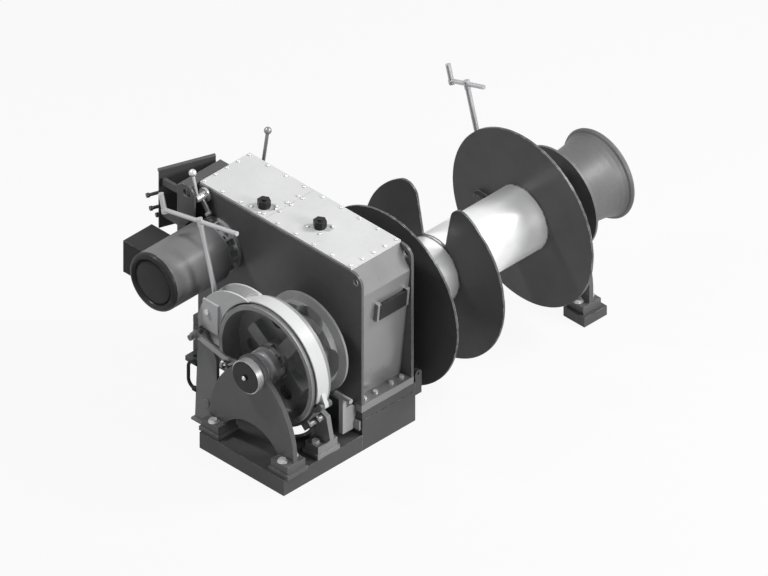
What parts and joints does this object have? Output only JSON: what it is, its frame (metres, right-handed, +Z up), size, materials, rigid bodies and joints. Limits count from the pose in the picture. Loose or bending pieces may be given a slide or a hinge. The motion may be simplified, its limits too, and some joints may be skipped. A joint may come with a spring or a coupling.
{
  "type": "hydraulic winch",
  "caption": "Deck winch with a chain wheel, a divided rope drum and a warping head on one geared shaft, with dog clutches and screw band brakes.",
  "frame": {"origin": "on the deck, under the main shaft's axis, in the middle plane of the gearcase", "axes": "+X along the main shaft toward the warping head, +Y toward the motor's side, +Z up; the deck is z = 0"},
  "size_m": [2.539, 1.593, 1.2458],
  "materials": {
    "base_grey": "satin paint",
    "plate_grey": "satin paint",
    "shell_grey": "satin paint",
    "cover_light": "satin paint",
    "cast_grey": "painted casting",
    "wheel_grey": "cast, turned faces",
    "drum_plate": "satin paint",
    "bright": "turned",
    "steel": "machined",
    "bolt": "zinc plated",
    "bronze": "machined",
    "black": "gloss",
    "lining": "woven friction lining",
    "hose": "satin paint, bent pipe",
    "motor_grey": "satin paint",
    "motor_end": "satin paint",
    "head_grey": "satin paint",
    "panel_dark": "satin paint"
  },
  "bodies": {
    "frame": {"front_base": "base_grey", "gear_bed": "base_grey", "bed_lugs": "base_grey", "chain_pipe_ring": "base_grey", "front_pedestal": "cast_grey", "front_bearing_cap": "black", "far_pedestal": "cast_grey", "far_deck_pads": "base_grey", "bearing_housings": "bright", "bearing_bushes": "bronze", "foot_bolts": "bolt", "front_side_plate": "plate_grey", "rear_side_plate": "plate_grey", "gearcase_shell": "shell_grey", "gearcase_cover": "cover_light", "cover_screws": "bolt", "vent_plugs": "black", "gearcase_bushes": "bronze", "nameplate_frame": "shell_grey", "nameplate": "black", "flange_bolts": "bolt", "motor_body": "motor_grey", "motor_end_cover": "motor_end", "motor_connection_box": "motor_grey", "motor_flange": "shell_grey", "fork_post": "plate_grey", "pipe_loop": "hose", "near_lower_band": "steel", "near_lower_lining": "lining", "brake_anchors": "shell_grey", "chain_stripper": "shell_grey", "shift_mounts": "plate_grey", "far_lower_band": "steel", "valve_stand": "panel_dark", "valve_panel": "panel_dark"},
    "main_shaft": {"main_shaft": "steel", "shaft_keys": "steel", "main_gear": "steel", "warping_head": "head_grey"},
    "second_shaft": {"second_shaft_gears": "steel"},
    "third_shaft": {"third_shaft_gears": "steel"},
    "motor_rotor": {"motor_shaft_pinion": "steel"},
    "chain_wheel": {"chain_wheel": "wheel_grey", "chain_wheel_bushes": "bronze"},
    "rope_drum": {"drum_barrel": "bright", "near_drum_flange": "drum_plate", "notched_drum_flange": "drum_plate", "far_drum_flange": "drum_plate", "drum_bushes": "bronze"},
    "clutch_sleeve": {"clutch_sleeve": "steel"},
    "drum_clutch_sleeve": {"drum_clutch_sleeve": "steel"},
    "clutch_fork": {"clutch_fork": "steel"},
    "drum_clutch_fork": {"drum_clutch_fork": "steel"},
    "near_upper_band": {"near_upper_band": "bright", "near_upper_lining": "lining"},
    "far_upper_band": {"far_upper_band": "steel"},
    "near_brake_screw": {"near_brake_screw": "steel"},
    "far_brake_screw": {"far_brake_screw": "steel"},
    "front_shift_lever": {"front_shift_lever": "bright"},
    "drum_shift_lever": {"drum_shift_lever": "steel"}
  },
  "joints": [
    {"name": "main_shaft_spin", "type": "hinge", "parent": "frame", "child": "main_shaft", "pos_m": [0, 0, 0.565], "axis": [1, 0, 0], "continuous": true},
    {"name": "second_shaft_spin", "type": "hinge", "parent": "frame", "child": "second_shaft", "pos_m": [0, 0.28239, 0.62157], "axis": [1, 0, 0], "continuous": true},
    {"name": "third_shaft_spin", "type": "hinge", "parent": "frame", "child": "third_shaft", "pos_m": [0, 0.508, 0.7735], "axis": [1, 0, 0], "continuous": true},
    {"name": "motor_spin", "type": "hinge", "parent": "frame", "child": "motor_rotor", "pos_m": [-0.4, 0.7, 0.773], "axis": [1, 0, 0], "continuous": true},
    {"name": "chain_wheel_spin", "type": "hinge", "parent": "frame", "child": "chain_wheel", "pos_m": [-0.4, 0, 0.565], "axis": [1, 0, 0], "continuous": true},
    {"name": "rope_drum_spin", "type": "hinge", "parent": "frame", "child": "rope_drum", "pos_m": [0.7, 0, 0.565], "axis": [1, 0, 0], "continuous": true},
    {"name": "front_lever_swing", "type": "hinge", "parent": "frame", "child": "front_shift_lever", "pos_m": [-0.244, 0.8, 1.028], "axis": [1, 0, 0], "range_deg": [0, 40]},
    {"name": "clutch_sleeve_slide", "type": "slide", "parent": "main_shaft", "child": "clutch_sleeve", "axis": [1, 0, 0], "range_m": [0, 0.027]},
    {"name": "clutch_fork_slide", "type": "slide", "parent": "frame", "child": "clutch_fork", "axis": [1, 0, 0], "range_m": [0, 0.027]},
    {"name": "drum_lever_swing", "type": "hinge", "parent": "frame", "child": "drum_shift_lever", "pos_m": [0.216, 0, 0.965], "axis": [0, -1, 0], "range_deg": [0, 6.2]},
    {"name": "drum_sleeve_slide", "type": "slide", "parent": "main_shaft", "child": "drum_clutch_sleeve", "axis": [1, 0, 0], "range_m": [0, 0.027]},
    {"name": "drum_fork_slide", "type": "slide", "parent": "frame", "child": "drum_clutch_fork", "axis": [1, 0, 0], "range_m": [0, 0.027]},
    {"name": "near_screw_turn", "type": "hinge", "parent": "frame", "child": "near_brake_screw", "pos_m": [-0.503, 0.36204, 0.565], "axis": [0, 0.2672, 0.9636], "range_deg": [0, 720]},
    {"name": "near_band_open", "type": "hinge", "parent": "frame", "child": "near_upper_band", "pos_m": [-0.503, -0.35305, 0.4704], "axis": [1, 0, 0], "range_deg": [0, 0.8]},
    {"name": "far_screw_turn", "type": "hinge", "parent": "frame", "child": "far_brake_screw", "pos_m": [1.351, 0.34752, 0.565], "axis": [0, 0.2672, 0.9636], "range_deg": [0, 720]},
    {"name": "far_band_open", "type": "hinge", "parent": "frame", "child": "far_upper_band", "pos_m": [1.351, -0.29509, 0.48593], "axis": [1, 0, 0], "range_deg": [0, 0.8]}
  ],
  "couplings": [
    {"joint": "second_shaft_spin", "follows": "main_shaft_spin", "ratio": -3.5},
    {"joint": "third_shaft_spin", "follows": "main_shaft_spin", "ratio": 11.375},
    {"joint": "motor_spin", "follows": "main_shaft_spin", "ratio": -34.125},
    {"joint": "clutch_sleeve_slide", "follows": "front_lever_swing", "m_per_rad": 0.038675},
    {"joint": "clutch_fork_slide", "follows": "front_lever_swing", "m_per_rad": 0.038675},
    {"joint": "drum_sleeve_slide", "follows": "drum_lever_swing", "m_per_rad": 0.24951},
    {"joint": "drum_fork_slide", "follows": "drum_lever_swing", "m_per_rad": 0.24951},
    {"joint": "near_band_open", "follows": "near_screw_turn", "ratio": 0.0011111},
    {"joint": "far_band_open", "follows": "far_screw_turn", "ratio": 0.0011111}
  ]
}
